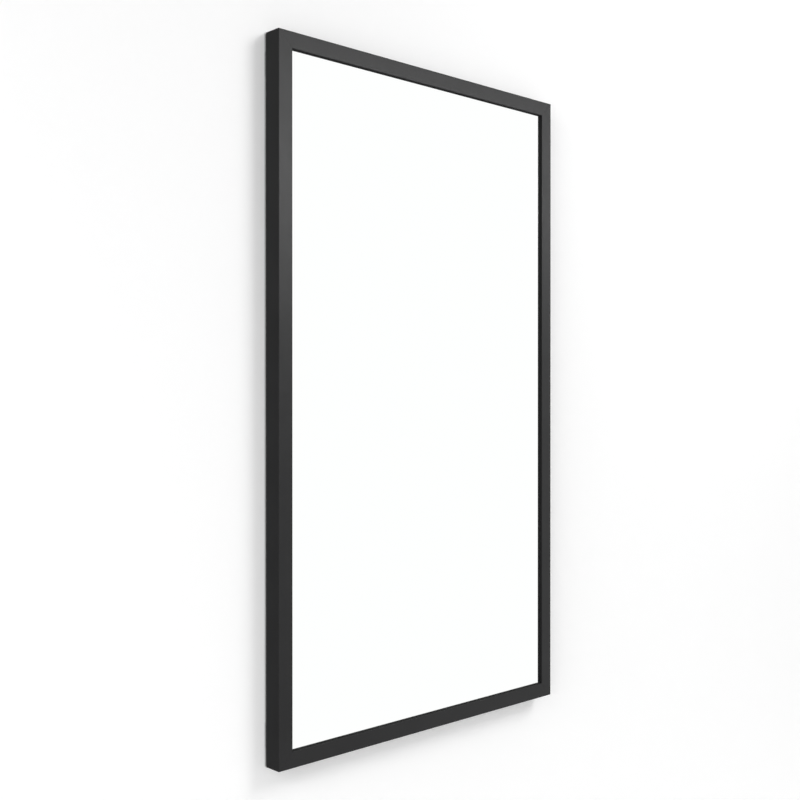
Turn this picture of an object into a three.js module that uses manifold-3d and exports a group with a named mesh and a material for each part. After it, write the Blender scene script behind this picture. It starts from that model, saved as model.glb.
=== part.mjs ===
// Pull out closet mirror: a framed mirror that slides sideways on two hidden telescopic ball slides.
// Millimetres. X points right, Y into the wall, Z up. The wall is the plane Y = 0.
import * as THREE from 'three';
import { mergeVertices } from 'three/addons/utils/BufferGeometryUtils.js';
import Module from 'manifold-3d';

const wasm = await Module();
wasm.setup();

// Overall size, measured from the photo as ratios of the height
const width = 572;
const height = 1000;
const depth = 30;
const faceWidth = 23;
const glassSetback = 4.7;

// Frame extrusion, as distances in from the outer edge and back from the front face
const wall = 1.6;
const finGap = 1;
const returnWidth = 5;
const chamberWidth = 12.4;
const chamberDepth = 8.8;
const lipDepth = 4.5;
const edgeRadius = 0.9;
const lipRadius = 0.6;
const rearRadius = 0.5;
const mitreGap = 0.1;

// Glass, glazing strip and board
const glassThickness = 4;
const glassInset = 16.2;
const glassArris = 0.6;
const stripInset = 16.2;
const stripWidth = 4.8;
const boardThickness = 3;
const boardGap = 0.3;
const boardInset = 16.8;
const fit = 0.2;

// Corner keys and grub screws
const keyArm = 48;
const keyChamfer = 2.5;
const grubDiameter = 4;
const grubLength = 5.5;
const grubFromCorner = 31;
const socketWidth = 2;
const socketDepth = 2;
const holeClearance = 0.2;

// Board clips
const clipWidth = 18;
const clipThickness = 1.2;
const clipStart = 3.8;
const clipEnd = 27;
const clipOffset = 150;
const clipScrewInset = 8.4;
const clipScrewLength = 7;

// Screws
const screwDiameter = 4;
const panHeadDiameter = 7;
const panHeadHeight = 1.7;
const recessWidth = 0.9;
const recessLength = 4;
const recessDepth = 1;
const sinkDiameter = 7.6;
const sinkDepth = 1.9;
const crossScrewLength = 9;

// Cross rails
const railHeight = 40;
const railThickness = 2.6;
const railCentre = 330;
const railEndGap = 0.6;
const railScrewInset = 8;
const railCorner = 5;

// Wall rails and tie channel
const wallRailHeight = 50;
const wallRailOverhang = 37;
const wallRailThickness = 2;
const wallRailCorner = 4;
const wallHoleDiameter = 5;
const wallSinkDiameter = 9.6;
const wallHoleFromEnd = 13;
const tieWidth = 70;
const tieFlange = 8;
const tieHoleShares = [0.3, 0.82];
const dovetailNeck = 26;
const dovetailHead = 34;
const dovetailDepth = 12;

// Telescopic slides: s runs from the outer member's back towards the mirror, t up from the centre line
const slideBack = 2.2;
const slideThickness = 12.7;
const sheet = 1.2;
const slideHalf = 22.85;
const outerHalfLength = 225;
const endSetback = 1;
const restGap = 0.5;
const ballDiameter = 3.97;
const ballGap = 0.3;
const outerBallS = 6;
const innerBallS = 9.1;
const innerBallDrop = 5.2;
const middleWebS = 2.8;
const outerCageWebS = 1.9;
const innerCageWebS = 4.9;
const cageSheet = 0.5;
const ballsPerRow = 7;
const ballPitchShare = 0.15;
const bumperLength = 11;
const bumperPeg = 4;
const rivetDiameter = 4;
const rivetHead = 6.4;
const rivetHeight = 0.4;
const rivetFromEnd = 35;
const rivetNearShare = 0.326;
const outerHoleShares = [-0.55, 0, 0.55];
const slotOffset = 30;
const slotLength = 14;
const slotHeight = 5;
const middleSlotPitchShare = 0.58;
const middleSlotLength = 30;
const middleSlotHeight = 14;
const slideScrewFromEnd = 35;
const slideScrewLength = 6;

// Stops that trap the ball cages when the mirror is fully out
const stopLength = 3.5;
const stopNear = 5;
const stopFar = 11;
const stopGap = 0.5;
const tabHalf = 3;

// Trailing stile and pads
const finCutMargin = 19;
const padLength = 34;
const padThickness = 0.7;
const padWidth = 4.4;
const padFromEnd = 26;

const roundSteps = 10;
const mm = (a, b) => new THREE.Vector2(a, b);
const front = -depth;
const halfWidth = width / 2;
const halfHeight = height / 2;
const chamberBack = wall + chamberDepth + wall;
const boardFront = glassSetback + glassThickness + boardGap;
const boardBack = boardFront + boardThickness;
const railHalfLength = halfWidth - wall - railEndGap;
const wallRailHalfLength = outerHalfLength + wallRailOverhang;
const wallHoleX = wallRailHalfLength - wallHoleFromEnd;
const finCutHalf = railCentre + wallRailHeight / 2 + finCutMargin;
const railFront = front + boardBack + boardGap;
const railRear = railFront + railThickness;
const bumperEnd = outerHalfLength - endSetback;
const bumperStart = bumperEnd - bumperLength;
const middleStart = -outerHalfLength + endSetback;
const middleEnd = bumperStart - restGap;
const innerStart = -outerHalfLength;
const innerEnd = bumperStart - 2 * restGap;
const travel = 2 * outerHalfLength;
const frontStop = -outerHalfLength + 2 * endSetback;
const rearStop = middleEnd - stopLength - endSetback;
const cageStart = frontStop + stopLength + stopGap + travel / 4;
const cageEnd = rearStop - stopGap - travel / 4;
const cageLength = cageEnd - cageStart;
const ballPitch = cageLength * ballPitchShare;
const rivetNear = outerHalfLength * rivetNearShare;
const rivetFar = outerHalfLength - rivetFromEnd;
const middleSlotPitch = outerHalfLength * middleSlotPitchShare;
const slideScrewLeft = innerStart + slideScrewFromEnd;
const slideScrewRight = innerEnd - slideScrewFromEnd;

const black = new THREE.MeshStandardMaterial({ color: 0x1c1d1f, roughness: 0.55, metalness: 0.3 });
const silver = new THREE.MeshStandardMaterial({ color: 0xe9eef0, roughness: 0.04, metalness: 1 });
const brownBoard = new THREE.MeshStandardMaterial({ color: 0x8a6a48, roughness: 0.85, metalness: 0 });
const foam = new THREE.MeshStandardMaterial({ color: 0x18181a, roughness: 0.95, metalness: 0 });
const zinc = new THREE.MeshStandardMaterial({ color: 0xb9bec2, roughness: 0.35, metalness: 0.9 });
const castZinc = new THREE.MeshStandardMaterial({ color: 0x8e9296, roughness: 0.5, metalness: 0.8 });
const darkScrew = new THREE.MeshStandardMaterial({ color: 0x2b2c2e, roughness: 0.4, metalness: 0.8 });
const rubber = new THREE.MeshStandardMaterial({ color: 0x222222, roughness: 0.9, metalness: 0 });
const felt = new THREE.MeshStandardMaterial({ color: 0x3a3b3e, roughness: 0.98, metalness: 0 });

const group = new THREE.Group();

function add(name, geometry, material) {
  const mesh = new THREE.Mesh(geometry, material);
  mesh.name = name;
  group.add(mesh);
}

// Boolean work: every body goes in as a closed, outward facing triangle mesh and comes back as one
function solid(geometry) {
  const plain = geometry.clone();
  plain.deleteAttribute('normal');
  plain.deleteAttribute('uv');
  const merged = mergeVertices(plain, 1e-4);
  const corners = Float32Array.from(merged.attributes.position.array);
  const triangles = Uint32Array.from(merged.index.array);
  if (volume(corners, triangles) < 0) {
    for (let i = 0; i < triangles.length; i += 3) {
      [triangles[i], triangles[i + 1]] = [triangles[i + 1], triangles[i]];
    }
  }
  return new wasm.Manifold(new wasm.Mesh({ numProp: 3, vertProperties: corners, triVerts: triangles }));
}

function volume(corners, triangles) {
  const a = new THREE.Vector3();
  const b = new THREE.Vector3();
  const c = new THREE.Vector3();
  let total = 0;
  for (let i = 0; i < triangles.length; i += 3) {
    a.fromArray(corners, triangles[i] * 3);
    b.fromArray(corners, triangles[i + 1] * 3);
    c.fromArray(corners, triangles[i + 2] * 3);
    total += a.dot(b.cross(c));
  }
  return total;
}

function surface(body) {
  const mesh = body.getMesh();
  const geometry = new THREE.BufferGeometry();
  geometry.setAttribute('position', new THREE.BufferAttribute(Float32Array.from(mesh.vertProperties), 3));
  geometry.setIndex(new THREE.BufferAttribute(Uint32Array.from(mesh.triVerts), 1));
  const flat = geometry.toNonIndexed();
  flat.computeVertexNormals();
  return flat;
}

const less = (body, ...tools) => tools.reduce((rest, tool) => rest.subtract(tool), body);
const plus = (body, ...others) => others.reduce((rest, other) => rest.add(other), body);

// A closed outline with rounded corners; each corner is [a, b, radius]
function outline(corners, steps = 3) {
  const points = [];
  corners.forEach(([a, b, radius = 0], i) => {
    if (!radius) {
      points.push(mm(a, b));
      return;
    }
    const here = mm(a, b);
    const before = corners[(i + corners.length - 1) % corners.length];
    const after = corners[(i + 1) % corners.length];
    const toBefore = mm(before[0] - a, before[1] - b).normalize();
    const toAfter = mm(after[0] - a, after[1] - b).normalize();
    const half = Math.acos(THREE.MathUtils.clamp(toBefore.dot(toAfter), -1, 1)) / 2;
    const inwards = toBefore.clone().add(toAfter).normalize();
    const centre = inwards.multiplyScalar(radius / Math.sin(half)).add(here);
    const first = toBefore.multiplyScalar(radius / Math.tan(half)).add(here).sub(centre);
    const last = toAfter.multiplyScalar(radius / Math.tan(half)).add(here).sub(centre);
    let turn = last.angle() - first.angle();
    if (turn > Math.PI) turn -= 2 * Math.PI;
    if (turn < -Math.PI) turn += 2 * Math.PI;
    for (let step = 0; step <= steps; step += 1) {
      const angle = first.angle() + (turn * step) / steps;
      points.push(mm(centre.x + radius * Math.cos(angle), centre.y + radius * Math.sin(angle)));
    }
  });
  return points;
}

const rectangle = (a0, a1, b0, b1, radius = 0, steps = 2) => outline(
  [[a0, b0, radius], [a1, b0, radius], [a1, b1, radius], [a0, b1, radius]], steps);

const circle = (a, b, radius, steps = roundSteps) => Array.from({ length: steps }, (_, i) => {
  const angle = (2 * Math.PI * i) / steps;
  return mm(a + radius * Math.cos(angle), b + radius * Math.sin(angle));
});

function extrude(points, length, holes = []) {
  const shape = new THREE.Shape(points);
  holes.forEach((hole) => shape.holes.push(new THREE.Path(hole)));
  return new THREE.ExtrudeGeometry(shape, { depth: length, bevelEnabled: false, steps: 1 });
}

// A flat plate in X and Z between two values of Y
function plate(points, yStart, yEnd, holes = []) {
  const geometry = extrude(points, yEnd - yStart, holes);
  geometry.rotateX(Math.PI / 2);
  geometry.translate(0, yEnd, 0);
  return geometry;
}

// A profile in s and t, run along X between two values; t is measured from zCentre
function run(points, xStart, xEnd, zCentre) {
  const geometry = extrude(points, xEnd - xStart);
  const turned = new THREE.Matrix4().makeBasis(
    new THREE.Vector3(0, -1, 0), new THREE.Vector3(0, 0, 1), new THREE.Vector3(-1, 0, 0));
  geometry.applyMatrix4(turned);
  geometry.translate(xEnd, -slideBack, zCentre);
  return geometry;
}

// A round body about a line along Y; the profile is [radius, y] pairs from one end to the other
function turnedBody(profile, x, z, steps = roundSteps) {
  const points = profile.map(([radius, y]) => mm(radius, y));
  const geometry = new THREE.LatheGeometry(points, steps);
  geometry.translate(x, 0, z);
  return geometry;
}

const pin = (x, z, yStart, yEnd, radius, steps = roundSteps) => solid(
  turnedBody([[0, yStart], [radius, yStart], [radius, yEnd], [0, yEnd]], x, z, steps));

const block = (x0, x1, y0, y1, z0, z1) => {
  const geometry = new THREE.BoxGeometry(x1 - x0, y1 - y0, z1 - z0);
  geometry.translate((x0 + x1) / 2, (y0 + y1) / 2, (z0 + z1) / 2);
  return solid(geometry);
};

// Frame: one extruded section with a closed chamber, cut to mitres and placed on four sides
const inner = wall + chamberWidth;
const finBack = depth - finGap;
const section = outline([
  [0, 0, edgeRadius],
  [faceWidth, 0, lipRadius],
  [faceWidth, lipDepth, rearRadius],
  [faceWidth - wall, lipDepth, rearRadius],
  [faceWidth - wall, wall],
  [inner + wall, wall],
  [inner + wall, chamberBack, rearRadius],
  [wall, chamberBack],
  [wall, finBack - wall],
  [returnWidth, finBack - wall],
  [returnWidth, finBack, rearRadius],
  [0, finBack, rearRadius],
]);
const chamber = rectangle(wall, inner, wall, chamberBack - wall);

function mitred(side, halfLength) {
  const loops = [section, chamber];
  const triangles = [];
  const place = {
    left: (u, v, w) => [-halfWidth + u, front + v, w],
    right: (u, v, w) => [halfWidth - u, front + v, w],
    top: (u, v, w) => [w, front + v, halfHeight - u],
    bottom: (u, v, w) => [w, front + v, -halfHeight + u],
  }[side];
  const corner = (point, end) => place(point.x, point.y, end * (halfLength - point.x - mitreGap));
  loops.forEach((loop) => loop.forEach((point, i) => {
    const next = loop[(i + 1) % loop.length];
    const turn = loop === section ? 1 : -1;
    triangles.push(corner(point, -turn), corner(next, -turn), corner(next, turn));
    triangles.push(corner(point, -turn), corner(next, turn), corner(point, turn));
  }));
  const all = [...section, ...chamber];
  THREE.ShapeUtils.triangulateShape(section, [chamber]).forEach(([a, b, c]) => {
    triangles.push(corner(all[a], 1), corner(all[b], 1), corner(all[c], 1));
    triangles.push(corner(all[a], -1), corner(all[c], -1), corner(all[b], -1));
  });
  const geometry = new THREE.BufferGeometry();
  geometry.setAttribute('position', new THREE.Float32BufferAttribute(triangles.flat(), 3));
  geometry.setAttribute('normal', new THREE.Float32BufferAttribute(triangles.flat(), 3));
  geometry.setAttribute('uv', new THREE.Float32BufferAttribute(triangles.flatMap(() => [0, 0]), 2));
  return solid(geometry);
}

const chamberHole = (x, z, diameter) => pin(
  x, z, front + wall + chamberDepth - fit, front + chamberBack + fit, diameter / 2 + holeClearance);
const keyCentre = wall + chamberWidth / 2;
const grubSeat = halfWidth - grubFromCorner;
const grubRise = halfHeight - grubFromCorner;
const screwX = halfWidth - railScrewInset;

add('left_stile', surface(less(
  mitred('left', halfHeight),
  ...[1, -1].map((up) => chamberHole(-halfWidth + keyCentre, up * grubRise, grubDiameter)),
  ...[1, -1].map((up) => chamberHole(-screwX, up * railCentre, screwDiameter)),
)), black);
add('right_stile', surface(less(
  mitred('right', halfHeight),
  ...[1, -1].map((up) => chamberHole(halfWidth - keyCentre, up * grubRise, grubDiameter)),
  ...[1, -1].map((up) => chamberHole(screwX, up * railCentre, screwDiameter)),
  block(halfWidth - returnWidth - wall, halfWidth + wall, front + chamberBack + fit, 0,
    -finCutHalf, finCutHalf),
)), black);
for (const [name, up] of [['top_rail', 1], ['bottom_rail', -1]]) {
  add(name, surface(less(
    mitred(up > 0 ? 'top' : 'bottom', halfWidth),
    ...[1, -1].map((right) => chamberHole(right * grubSeat, up * (halfHeight - keyCentre), grubDiameter)),
    ...[1, -1].map((right) => chamberHole(
      right * clipOffset, up * (halfHeight - clipScrewInset), screwDiameter)),
  )), black);
}

// Corner keys: an L in the two chambers, with a tapped hole in each arm
const keyOuter = wall + fit;
const keyInner = inner - fit;
const keyFront = front + wall + fit;
const keyBack = front + wall + chamberDepth - fit;
for (const [vertical, up] of [['top', 1], ['bottom', -1]]) {
  for (const [sideways, right] of [['left', -1], ['right', 1]]) {
    const spot = (u, w) => [right * (halfWidth - u), up * (halfHeight - w)];
    const corners = [
      [keyOuter, keyOuter, keyChamfer], [keyArm, keyOuter, keyChamfer / 2],
      [keyArm, keyInner, keyChamfer / 2], [keyInner, keyInner, 0],
      [keyInner, keyArm, keyChamfer / 2], [keyOuter, keyArm, keyChamfer / 2],
    ].map(([u, w, radius]) => [...spot(u, w), radius]);
    const key = solid(plate(outline(corners, 2), keyFront, keyBack));
    const rise = spot(keyCentre, grubFromCorner);
    const across = spot(grubFromCorner, keyCentre);
    const bore = grubDiameter / 2 + holeClearance;
    add(`corner_key_${vertical}_${sideways}`, surface(less(
      key,
      pin(...rise, keyFront - fit, keyBack + fit, bore),
      pin(...across, keyFront - fit, keyBack + fit, bore),
    )), castZinc);
    const tail = front + chamberBack;
    for (const [end, place] of [['stile', rise], ['rail', across]]) {
      const screw = pin(...place, tail - grubLength, tail, grubDiameter / 2);
      const socket = pin(...place, tail - socketDepth, tail + fit, socketWidth / Math.sqrt(3), 6);
      add(`grub_screw_${vertical}_${sideways}_${end}`, surface(less(screw, socket)), darkScrew);
    }
  }
}

// Mirror glass with a small ground arris on every edge
const glassFront = front + glassSetback;
const glassHalfX = halfWidth - glassInset;
const glassHalfZ = halfHeight - glassInset;
function pane(halfX, halfZ, yStart, yEnd, arris) {
  const geometry = new THREE.BoxGeometry(2 * halfX, yEnd - yStart, 2 * halfZ);
  geometry.translate(0, (yStart + yEnd) / 2, 0);
  const body = solid(geometry);
  const deep = yEnd - yStart;
  const wedge = (x, z) => {
    const long = 2 * (halfX + halfZ);
    const cutter = new THREE.BoxGeometry(x ? arris : long, arris, x ? long : arris);
    const turned = new THREE.Matrix4();
    if (x) turned.makeRotationZ(Math.PI / 4);
    else turned.makeRotationX(Math.PI / 4);
    cutter.applyMatrix4(turned);
    return [-1, 1].map((side) => {
      const copy = cutter.clone();
      copy.translate(x * halfX, (yStart + yEnd) / 2 + (side * deep) / 2, z * halfZ);
      return solid(copy);
    });
  };
  return less(body, ...wedge(1, 0), ...wedge(-1, 0), ...wedge(0, 1), ...wedge(0, -1));
}
const glassBack = glassFront + glassThickness;
add('mirror_glass', surface(pane(glassHalfX, glassHalfZ, glassFront, glassBack, glassArris)), silver);

// Foam glazing strips between the lip and the glass
const stripFront = front + wall + fit;
const stripBack = glassFront - fit;
const stripOuter = stripInset + stripWidth;
for (const [name, side] of [['left', -1], ['right', 1]]) {
  const edges = [side * (halfWidth - stripInset), side * (halfWidth - stripOuter)].sort((a, b) => a - b);
  add(`glazing_strip_${name}`, surface(block(
    ...edges, stripFront, stripBack, -halfHeight + stripInset, halfHeight - stripInset)), foam);
}
for (const [name, side] of [['top', 1], ['bottom', -1]]) {
  const edges = [side * (halfHeight - stripInset), side * (halfHeight - stripOuter)].sort((a, b) => a - b);
  const reach = halfWidth - stripOuter - fit;
  add(`glazing_strip_${name}`, surface(block(-reach, reach, stripFront, stripBack, ...edges)), foam);
}

add('backing_board', plate(rectangle(
  -halfWidth + boardInset, halfWidth - boardInset, -halfHeight + boardInset, halfHeight - boardInset, wall),
front + boardFront, front + boardBack), brownBoard);

// Screws: a pan head or a countersunk head, with a cross recess; the head faces the wall
function screw(x, z, headFace, length, head) {
  const radius = screwDiameter / 2;
  const tip = headFace - length;
  const profile = head === 'pan'
    ? [[0, tip], [radius * 0.6, tip], [radius, tip + radius], [radius, headFace - panHeadHeight],
      [panHeadDiameter / 2, headFace - panHeadHeight], [panHeadDiameter / 2, headFace - panHeadHeight / 2],
      [panHeadDiameter / 3, headFace], [0, headFace]]
    : [[0, tip], [radius * 0.6, tip], [radius, tip + radius], [radius, headFace - sinkDepth],
      [sinkDiameter / 2 - fit, headFace - fit / 2], [sinkDiameter / 2 - fit, headFace], [0, headFace]];
  const recess = [recessLength, recessWidth].map((across, i) => {
    const along = i ? recessLength : recessWidth;
    return block(x - across / 2, x + across / 2, headFace - recessDepth, headFace + recessDepth,
      z - along / 2, z + along / 2);
  });
  return surface(less(solid(turnedBody(profile, x, z)), ...recess));
}

const sinkHole = (x, z, face, thickness, bore, sink) => {
  const small = bore / 2 + holeClearance;
  const cone = (sink - bore) / 2;
  return solid(turnedBody([[0, face - thickness - fit], [small, face - thickness - fit], [small, face - cone],
    [sink / 2, face - fit / 2], [sink / 2, face + fit], [0, face + fit]], x, z));
};

// Board clips on the top and bottom rails
const clipFront = front + boardBack + fit;
const clipBack = clipFront + clipThickness;
for (const [vertical, up] of [['top', 1], ['bottom', -1]]) {
  for (const [sideways, right] of [['left', -1], ['right', 1]]) {
    const x = right * clipOffset;
    const near = up * (halfHeight - clipStart);
    const far = up * (halfHeight - clipEnd);
    const hole = circle(x, up * (halfHeight - clipScrewInset), screwDiameter / 2 + holeClearance);
    const leaf = outline([[x - clipWidth / 2, near, wall], [x + clipWidth / 2, near, wall],
      [x + clipWidth / 2, far, clipWidth / 3], [x - clipWidth / 2, far, clipWidth / 3]], 4);
    add(`board_clip_${vertical}_${sideways}`, plate(leaf, clipFront, clipBack, [hole]), zinc);
    const headFace = clipBack + fit + panHeadHeight;
    add(`clip_screw_${vertical}_${sideways}`, screw(
      x, up * (halfHeight - clipScrewInset), headFace, clipScrewLength, 'pan'), darkScrew);
  }
}

// Cross rails behind the board, screwed to the chambers of both stiles
const slideFront = -slideBack - slideThickness;
for (const [level, up] of [['upper', 1], ['lower', -1]]) {
  const z = up * railCentre;
  const barOutline = rectangle(
    -railHalfLength, railHalfLength, z - railHeight / 2, z + railHeight / 2, railCorner);
  const bar = plate(barOutline, railFront, railRear);
  const tapped = [slideScrewLeft, slideScrewRight].map((x) => pin(
    x, z, railFront - fit, railRear + fit, screwDiameter / 2 + holeClearance));
  const sunk = [-screwX, screwX].map((x) => sinkHole(
    x, z, railRear, railThickness, screwDiameter, sinkDiameter));
  add(`${level}_cross_rail`, surface(less(solid(bar), ...tapped, ...sunk)), black);
  for (const [sideways, right] of [['left', -1], ['right', 1]]) {
    add(`cross_rail_screw_${level}_${sideways}`,
      screw(right * screwX, z, railRear, crossScrewLength, 'sunk'), darkScrew);
  }
}

// Slide profiles: a centre line of sheet, given a thickness
function strip(line, thickness) {
  const sides = [1, -1].map((side) => line.map((point, i) => {
    const before = line[Math.max(i - 1, 0)];
    const after = line[Math.min(i + 1, line.length - 1)];
    const first = point.clone().sub(before).normalize();
    const last = after.clone().sub(point).normalize();
    if (i === 0) first.copy(last);
    if (i === line.length - 1) last.copy(first);
    const normal = mm(-first.y - last.y, first.x + last.x).normalize();
    const reach = thickness / 2 / Math.max(normal.dot(mm(-last.y, last.x)), 0.5);
    return point.clone().addScaledVector(normal, side * reach);
  }));
  return [...sides[0], ...sides[1].reverse()];
}

const arc = (centreS, centreT, radius, from, to, steps) => Array.from({ length: steps + 1 }, (_, i) => {
  const angle = THREE.MathUtils.degToRad(from + ((to - from) * i) / steps);
  return mm(centreS + radius * Math.sin(angle), centreT + radius * Math.cos(angle));
});

// The upper half of a section, from the centre of the web outwards, and its mirror image below
const whole = (upper) => [...upper.slice(1).reverse().map((point) => mm(point.x, -point.y)),
  ...upper.slice(1)];

const ballRadius = ballDiameter / 2;
const raceRadius = ballRadius + ballGap + sheet / 2;
const outerBallT = slideHalf - sheet - ballGap - ballRadius;
const innerBallT = outerBallT - innerBallDrop;
const outerWeb = sheet / 2;
const middleWeb = middleWebS + sheet / 2;
const innerWeb = slideThickness - sheet / 2;
const bend = 2 * sheet;

const outerSection = strip(whole([
  mm(outerWeb, 0), mm(outerWeb, outerBallT - bend / 2), mm(outerWeb + sheet / 2, outerBallT + sheet / 2),
  ...arc(outerBallS, outerBallT, raceRadius, -52, 72, 7),
]), sheet);

const between = mm(innerBallS - outerBallS, innerBallT - outerBallT);
const sCurveLean = THREE.MathUtils.radToDeg(
  Math.atan2(between.x, -between.y) - Math.acos((2 * raceRadius) / between.length()));
const middleSection = strip(whole([
  mm(middleWeb, 0), mm(middleWeb, innerBallT), mm(middleWeb + sheet / 3, innerBallT + sheet),
  ...arc(outerBallS, outerBallT, raceRadius, 205, 180 - sCurveLean, 3),
  ...arc(innerBallS, innerBallT, raceRadius, -sCurveLean, 68, 6),
]), sheet);

const innerSection = strip(whole([
  mm(innerWeb, 0), mm(innerWeb, innerBallT - raceRadius - bend / 2),
  mm(innerWeb - sheet / 2, innerBallT - raceRadius - sheet / 4),
  ...arc(innerBallS, innerBallT, raceRadius, 160, 236, 5),
]), sheet);

const cageSection = (webS, ballS, ballT) => strip(whole([
  mm(webS + cageSheet / 2, 0), mm(webS + cageSheet / 2, ballT - sheet),
  mm(webS + cageSheet * 1.5, ballT), mm(ballS + ballRadius - cageSheet / 4, ballT),
]), cageSheet);

function cage(webS, ballS, ballT, z) {
  let body = solid(run(cageSection(webS, ballS, ballT), cageStart, cageEnd, z));
  const middle = (cageStart + cageEnd) / 2;
  for (let i = 0; i < ballsPerRow; i += 1) {
    const x = middle + (i - (ballsPerRow - 1) / 2) * ballPitch;
    for (const up of [1, -1]) {
      const ball = new THREE.SphereGeometry(ballRadius, 6, 4);
      ball.translate(x, -slideBack - ballS, z + up * ballT);
      body = plus(body, solid(ball));
    }
  }
  return surface(body);
}

const slidePin = (x, z, sStart, sEnd, radius) => pin(x, z, -slideBack - sEnd, -slideBack - sStart, radius);
const rivetSpots = [-rivetFar, -rivetNear, rivetNear, rivetFar];
const outerHoleSpots = outerHoleShares.map((share) => share * outerHalfLength);
const bumperMiddle = (bumperStart + bumperEnd) / 2;
const stopBlock = (x, long, sStart, sEnd, zStart, zEnd) => block(
  x, x + long, -slideBack - sEnd, -slideBack - sStart, zStart, zEnd);
const stops = (x, sStart, sEnd, z) => [1, -1].map((side) => {
  const edges = [z + side * stopNear, z + side * stopFar].sort((a, b) => a - b);
  return stopBlock(x, stopLength, sStart, sEnd, ...edges);
});
const slot = (x, z, sStart, sEnd, long, high) => solid(plate(rectangle(
  x - long / 2, x + long / 2, z - high / 2, z + high / 2, high / 2 - sheet / 4),
-slideBack - sEnd, -slideBack - sStart));

for (const [level, up] of [['upper', 1], ['lower', -1]]) {
  const z = up * railCentre;
  const rivet = rivetDiameter / 2;
  const throughOuter = [-fit, sheet + fit];
  const outer = less(
    solid(run(outerSection, -outerHalfLength, outerHalfLength, z)),
    ...outerHoleSpots.map((x) => slidePin(x, z, ...throughOuter, screwDiameter / 2 + fit)),
    ...outerHoleSpots.map((x) => slot(x + slotOffset, z, ...throughOuter, slotLength, slotHeight)),
    slidePin(bumperMiddle, z, ...throughOuter, bumperPeg / 2 + fit),
  );
  const rivets = rivetSpots.map((x) => plus(
    slidePin(x, z, -wallRailThickness, sheet / 2, rivet),
    slidePin(x, z, sheet / 2, sheet + rivetHeight, rivetHead / 2),
  ));
  const outerStops = stops(frontStop, sheet / 2, middleWebS - ballGap, z);
  add(`${level}_slide_outer_member`, surface(plus(outer, ...rivets, ...outerStops)), zinc);

  const throughMiddle = [middleWebS - fit, middleWebS + sheet + fit];
  const middle = less(
    solid(run(middleSection, middleStart, middleEnd, z)),
    ...[-1, 0, 1].map((side) => slot(
      side * middleSlotPitch, z, ...throughMiddle, middleSlotLength, middleSlotHeight)),
    ...[middleStart + wallHoleFromEnd, middleEnd - wallHoleFromEnd].map((x) => slidePin(
      x, z, ...throughMiddle, panHeadDiameter / 2)),
  );
  const innerReach = innerCageWebS + cageSheet;
  const middleStops = [
    ...stops(rearStop, sheet + ballGap, middleWebS + sheet / 2, z),
    ...stops(frontStop, middleWebS + sheet / 2, innerReach, z),
  ];
  add(`${level}_slide_intermediate_member`, surface(plus(middle, ...middleStops)), zinc);

  const throughInner = [slideThickness - sheet - fit, slideThickness + fit];
  const innerBody = less(
    solid(run(innerSection, innerStart, innerEnd, z)),
    ...[slideScrewLeft, slideScrewRight].map((x) => slidePin(
      x, z, ...throughInner, screwDiameter / 2 + holeClearance)),
    ...[-rivetNear, rivetNear].map((x) => slot(x, z, ...throughInner, slotLength, slotHeight)),
    slidePin(0, z, ...throughInner, panHeadDiameter / 2),
  );
  const tab = stopBlock(
    rearStop + stopGap, sheet, innerCageWebS - ballGap, slideThickness - sheet / 2, z - tabHalf, z + tabHalf);
  add(`${level}_slide_inner_member`, surface(plus(innerBody, tab)), zinc);

  add(`${level}_slide_outer_cage`, cage(outerCageWebS, outerBallS, outerBallT, z), zinc);
  add(`${level}_slide_inner_cage`, cage(innerCageWebS, innerBallS, innerBallT, z), zinc);

  const bumper = plus(
    solid(run(rectangle(sheet + fit, innerBallS, -innerBallT, innerBallT, wall), bumperStart, bumperEnd, z)),
    slidePin(bumperMiddle, z, 0, sheet + 2 * fit, bumperPeg / 2),
  );
  add(`${level}_slide_bumper`, surface(bumper), rubber);

  for (const [sideways, x] of [['left', slideScrewLeft], ['right', slideScrewRight]]) {
    add(`slide_screw_${level}_${sideways}`, screw(
      x, z, slideFront + sheet + fit + panHeadHeight, slideScrewLength, 'pan'), darkScrew);
  }
}

// Wall rails with a dovetail socket each, and the tie channel between them
const railInner = railCentre - wallRailHeight / 2;
const tieEnd = railInner - fit;
for (const [level, up] of [['upper', 1], ['lower', -1]]) {
  const z = up * railCentre;
  const far = z + (up * wallRailHeight) / 2;
  const near = up * railInner;
  const neck = dovetailNeck / 2 + fit;
  const head = dovetailHead / 2 + fit;
  const deep = near + up * (dovetailDepth + fit);
  const points = outline([
    [-wallRailHalfLength, far, wallRailCorner], [wallRailHalfLength, far, wallRailCorner],
    [wallRailHalfLength, near, wallRailCorner], [neck, near], [head, deep],
    [-head, deep], [-neck, near], [-wallRailHalfLength, near, wallRailCorner],
  ]);
  const rail = less(
    solid(plate(points, -wallRailThickness, 0)),
    ...rivetSpots.map((x) => pin(x, z, -wallRailThickness - fit, fit, rivetDiameter / 2 + holeClearance)),
    ...[-wallHoleX, wallHoleX].map((x) => wallHole(x, z)),
  );
  add(`${level}_wall_rail`, surface(rail), black);
}

function wallHole(x, z) {
  const small = wallHoleDiameter / 2;
  const cone = wallRailThickness - fit;
  return solid(turnedBody([[0, fit], [small, fit], [small, -fit], [wallSinkDiameter / 2, -cone],
    [wallSinkDiameter / 2, -wallRailThickness - fit], [0, -wallRailThickness - fit]], x, z));
}

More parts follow.
